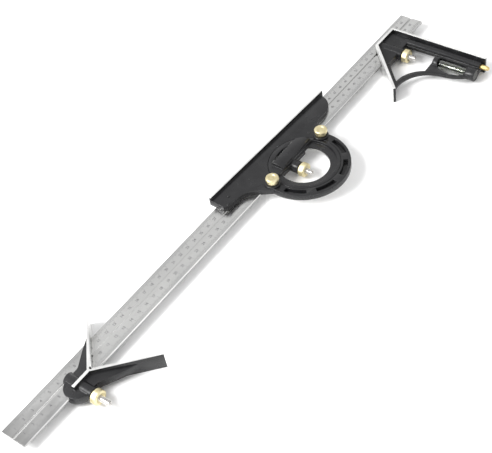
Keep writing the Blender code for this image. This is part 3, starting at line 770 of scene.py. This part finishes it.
def helix_ridge(radius, start, turns, around=20):
    """A thread's crest as a closed triangular ridge that winds about local Z, in millimetres."""
    work = bmesh.new()
    rings = []
    steps = round(turns * around)
    for step in range(steps + 1):
        angle = 2 * math.pi * step / around
        fade = min(1.0, step / around * 2, (steps - step) / around * 2)
        out = Vector((math.cos(angle), math.sin(angle), 0))
        middle = start + THREAD_PITCH * step / around
        root = radius + THREAD_ROOT
        crest = radius + THREAD_RIDGE * fade
        corners = ((root, -THREAD_HALF), (crest, 0.0), (root, THREAD_HALF))
        ring = [out * reach + Vector((0, 0, middle + rise)) for reach, rise in corners]
        rings.append([work.verts.new(corner) for corner in ring])
    for near, far in zip(rings, rings[1:]):
        for side in range(3):
            after = (side + 1) % 3
            work.faces.new((near[side], near[after], far[after], far[side]))
    work.faces.new(rings[0])
    work.faces.new(rings[-1])
    return work


def clamp_bolt(prefix, body, material):
    """The forked bolt, and the thread on the stretch that the nut runs on."""
    node = prefix + "_clamp_bolt"
    name = prefix + "_forked_bolt"
    from_cad(node, name, [material], body, "bright_steel", None, TURNED_BEVEL, BOLT_MERGE)
    _, high, middle = box_and_middle(prefix + "_clamp_nut")
    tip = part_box(node)[0].y
    reach = (high.y - tip) / MM - THREAD_STOP
    work = helix_ridge(THREAD_CORE, THREAD_START, reach / THREAD_PITCH)
    placed(work, ALONG_MINUS_Y, Vector((middle.x, high.y, middle.z)))
    mesh = mesh_from(work, prefix + "_thread", 60)
    return new_piece(prefix + "_bolt_thread", mesh, [material], body, "bright_steel")


def lock_screw(side, material):
    """Plain foot, knurled neck, and a smooth cap with a dished top."""
    node = "lock_screw_" + side
    low, high, middle = box_and_middle(node)
    cap = (high.x - low.x) / 2 / MM
    neck = cap - LOCK_NECK
    foot = (low.z - ZERO.z) / MM
    top = (high.z - ZERO.z) / MM
    base = LOCK_BASE
    brim = base + LOCK_NECK_LENGTH
    knurl = LOCK_KNURL_DEPTH
    rows = [(0, foot, 0), (LOCK_FOOT - 0.3, foot, 0), (LOCK_FOOT, foot + 0.3, 0)]
    rows += [(LOCK_FOOT, base, 0), (neck - 0.8, base, 0), (neck - 0.3, base + 0.15, KNURL_EASE)]
    rows += [(neck, base + 0.5, knurl), (neck, brim - 0.5, knurl), (neck - 0.2, brim - 0.3, KNURL_EASE)]
    rows += [(neck - 0.1, brim, 0), (cap - 0.4, brim, 0), (cap, brim + 0.4, 0)]
    inward, downward = LOCK_ROUNDING
    shoulder = top - downward
    rows.append((cap, shoulder, 0))
    for share in (0.25, 0.5, 0.75):
        turn = share * math.pi / 2
        rows.append((cap - inward + inward * math.cos(turn), shoulder + downward * math.sin(turn), 0))
    rows += [(cap - 2.4, top, 0), (cap - 2.9, top - 0.08, 0), (cap - 3.3, top - 0.55, 0)]
    rows += [(cap - 4.2, top - 0.8, 0), (1.0, top - 0.62, 0), (0, top - 0.58, 0)]
    work = lathe(rows, STEPS_PER_TOOTH * LOCK_TEETH, False)
    placed(work, ALONG_PLUS_Z, Vector((middle.x, middle.y, ZERO.z)))
    mesh = mesh_from(work, node, 35)
    return new_piece("dished_lock_screw_" + side, mesh, [material], side + "_lock", "brass", node)


def scriber_knob(material):
    """Knurled brass knob with a stepped crown."""
    low, high, middle = box_and_middle("scriber_knob")
    length = (high.y - low.y) / MM
    radius = (high.x - low.x) / 2 / MM
    rows = [(0, KNOB_BORE_DEPTH, 0), (KNOB_BORE, KNOB_BORE_DEPTH, 0), (KNOB_BORE, 0.0, 0)]
    rows += [(radius - 0.5, 0.0, 0), (radius - 0.35, 0.3, 0), (radius - 0.35, 0.8, 0)]
    rows += [(radius - 0.1, 1.0, KNURL_EASE), (radius, 1.2, KNURL_DEPTH)]
    rows += [(radius, length - 3.0, KNURL_DEPTH), (radius - 0.1, length - 2.75, KNURL_EASE)]
    rows += [(radius - 0.45, length - 2.5, 0), (radius - 0.4, length - 1.4, 0)]
    rows += [(radius - 0.7, length - 0.9, 0), (1.3, length - 0.35, 0), (0.6, length - 0.05, 0)]
    rows.append((0, length, 0))
    work = lathe(rows, STEPS_PER_TOOTH * KNOB_TEETH, False)
    placed(work, ALONG_MINUS_Y, Vector((middle.x, high.y, middle.z)))
    mesh = mesh_from(work, "scriber_handle", 35)
    return new_piece("scriber_handle", mesh, [material], "scriber", "brass", "scriber_knob")


# ---------------------------------------------------------------- levels


def mirrored_ends(end):
    """A whole profile from the (radius, height) points of its upper end, apex first."""
    return end + [(radius, -height) for radius, height in reversed(end)]


def vial_solid(profile, turn, middle):
    work = lathe([(radius, height, 0) for radius, height in profile], AROUND_VIAL, False)
    bmesh.ops.recalc_face_normals(work, faces=work.faces)
    return placed(work, turn, middle)


def hollow_tube(name, outside, inside, turn, middle):
    """The mesh of a closed tube: an outer skin, and a cavity whose faces look inward."""
    tube = mesh_from(vial_solid(outside, turn, middle), name)
    cavity = mesh_from(vial_solid(inside, turn, middle), name + "_cavity")
    work = bmesh.new()
    work.from_mesh(tube)
    first = len(work.faces)
    work.from_mesh(cavity)
    work.faces.ensure_lookup_table()
    bmesh.ops.reverse_faces(work, faces=work.faces[first:])
    work.to_mesh(tube)
    work.free()
    smooth_faces(tube, 40)
    return tube


def level_bubble(name, axis, middle, core_radius, half):
    """The mesh of a flattened bubble under the top of the tube's hollow."""
    bubble = bmesh.new()
    bmesh.ops.create_uvsphere(bubble, u_segments=32, v_segments=16, radius=1.0)
    width = core_radius * BUBBLE_WIDTH
    size = Vector((width, width, core_radius * BUBBLE_HEIGHT))
    size[axis] = half * BUBBLE_LENGTH
    bmesh.ops.transform(bubble, matrix=Matrix.Diagonal((*(size * MM), 1)), verts=bubble.verts)
    rise = Vector((0, 0, (core_radius - size.z) * BUBBLE_RISE * MM))
    bmesh.ops.translate(bubble, vec=middle + rise, verts=bubble.verts)
    return mesh_from(bubble, name)


def level(prefix, body, axis, materials):
    """Glass tube with rounded ends, tinted fluid, its bubble, and two reading lines."""
    node = prefix + "_level_vial"
    low, high, middle = box_and_middle(node)
    half = (high[axis] - low[axis]) / 2 / MM
    radius = (high.z - low.z) / 2 / MM
    turn = ALONG_PLUS_X if axis == 0 else ALONG_PLUS_Y
    glass, fluid, air, line = materials
    ease = radius * VIAL_EASE
    wall = radius * VIAL_WALL
    skin = [(0, half), (radius - ease, half), (radius - ease * 0.3, half - ease * 0.3)]
    skin = mirrored_ends(skin + [(radius, half - ease)])
    hollow = [(0, half - wall), (radius - wall - ease * 0.6, half - wall)]
    hollow = mirrored_ends(hollow + [(radius - wall, half - wall - ease * 0.5)])
    tube = hollow_tube(node, skin, hollow, turn, middle)
    new_piece(prefix + "_level_tube", tube, [glass], body, "vial_glass", node)

    slim = [(reach * FLUID_SHARE, height * FLUID_SHARE) for reach, height in hollow]
    filling = mesh_from(vial_solid(slim, turn, middle), prefix + "_fluid")
    new_piece(prefix + "_level_fluid", filling, [fluid], body, "vial_glass")

    core_radius = (radius - wall) * FLUID_SHARE
    bubble = level_bubble(prefix + "_bubble", axis, middle, core_radius, half)
    new_piece(prefix + "_level_bubble", bubble, [air], body, "vial_glass")

    for side, word in ((-1, "near"), (1, "far")):
        outer, inner, reach = radius + 0.03, radius - 0.05, READING_HALF_WIDTH
        band = [(outer, -reach, 0), (outer, reach, 0), (inner, reach, 0), (inner, -reach, 0)]
        ring = lathe(band, AROUND_VIAL, True)
        offset = Vector((0, 0, 0))
        offset[axis] = side * half * READING_LINE * MM
        placed(ring, turn, middle + offset)
        name = prefix + "_level_line_" + word
        new_piece(name, mesh_from(ring, name), [line], body, "vial_glass")


# ---------------------------------------------------------------- set, lights and camera


def repaint(material, *nodes):
    """A procedural finish on CAD nodes that are shown as they are."""
    for node in nodes:
        data = frame["nodes"][node].data
        data.materials.clear()
        data.materials.append(material)


def studio():
    """White floor and surroundings, a soft key lamp, and a second lamp that also shows in shiny parts."""
    floor = bmesh.new()
    bmesh.ops.create_grid(floor, x_segments=1, y_segments=1, size=6.0)
    sheet = bpy.data.objects.new("studio_floor", mesh_from(floor, "studio_floor"))
    sheet.location.z = cad_box[0].z - 0.0002
    sheet.data.materials.append(studio_floor())
    bpy.context.scene.collection.objects.link(sheet)
    world = bpy.data.worlds.new("white surroundings")
    world.use_nodes = True
    world.node_tree.nodes["Background"].inputs["Color"].default_value = (1, 1, 1, 1)
    world.node_tree.nodes["Background"].inputs["Strength"].default_value = 0.95
    bpy.context.scene.world = world
    soft_lamp("key", (-0.75, 0.75, 1.15), 0.6, 8.0, False)
    soft_lamp("glint", (-0.98, 0.60, 1.00), 0.8, 25.0, True)


def soft_lamp(name, place, size, power, mirrored_in_metal):
    lamp = bpy.data.lights.new(name, "AREA")
    lamp.shape = "DISK"
    lamp.size = size
    lamp.energy = power
    shown = bpy.data.objects.new(name, lamp)
    shown.location = place
    shown.rotation_euler = (-Vector(place)).to_track_quat("-Z", "Y").to_euler()
    shown.visible_glossy = mirrored_in_metal
    bpy.context.scene.collection.objects.link(shown)


def camera():
    view = bpy.data.cameras.new("camera")
    view.sensor_width = 36.0
    view.lens = 76.46
    view.clip_start = 0.05
    shown = bpy.data.objects.new("camera", view)
    shown.location = at(-192.4, -485.0, 681.4)
    shown.rotation_euler = Euler([math.radians(a) for a in (43.043, 6.920, -53.617)])
    bpy.context.scene.collection.objects.link(shown)
    bpy.context.scene.camera = shown
    bpy.context.scene.view_settings.view_transform = "Standard"


def main():
    steel, iron, enamel = satin_rule_steel(), ground_iron(), black_enamel()
    bright, black_ink = bright_steel(), ink()
    pale_brass = brass("pale_brass", (0.66, 0.57, 0.33), (0.82, 0.75, 0.50))
    deep_brass = brass("deep_brass", (0.60, 0.45, 0.19), (0.74, 0.60, 0.29))
    ring_steel, compound = scale_steel(), setting_compound()
    level_materials = (tube_glass(), level_fluid(), bubble_air(), black_ink)

    rule_body(steel)
    centimetre_scale(black_ink)
    inch_scale(black_ink)
    castings(enamel, iron)
    lobe_studs(enamel)
    for prefix, bodies in (("square", "square"), ("protractor", "turret"), ("centre", "centre")):
        clamp_nut(prefix, bodies + "_nut", pale_brass)
        clamp_bolt(prefix, bodies + "_bolt", bright)
        repaint(bright, prefix + "_clamp_spring")
    for side in ("left", "right"):
        lock_screw(side, pale_brass)
        repaint(compound, "protractor_vial_plug_" + side)
    repaint(compound, "square_vial_plug_inner", "square_vial_plug_outer")
    repaint(bright, "scriber_needle")
    repaint(deep_brass, "scriber_bush")
    scriber_knob(deep_brass)
    from_cad("protractor_scale_ring", "graduated_ring", [ring_steel], "turret", "scale_steel",
             None, TURNED_BEVEL)
    degree_scale(black_ink)
    index_line(black_ink)
    level("square", "square_head", 1, level_materials)
    level("protractor", "turret", 0, level_materials)
    studio()
    camera()


main()
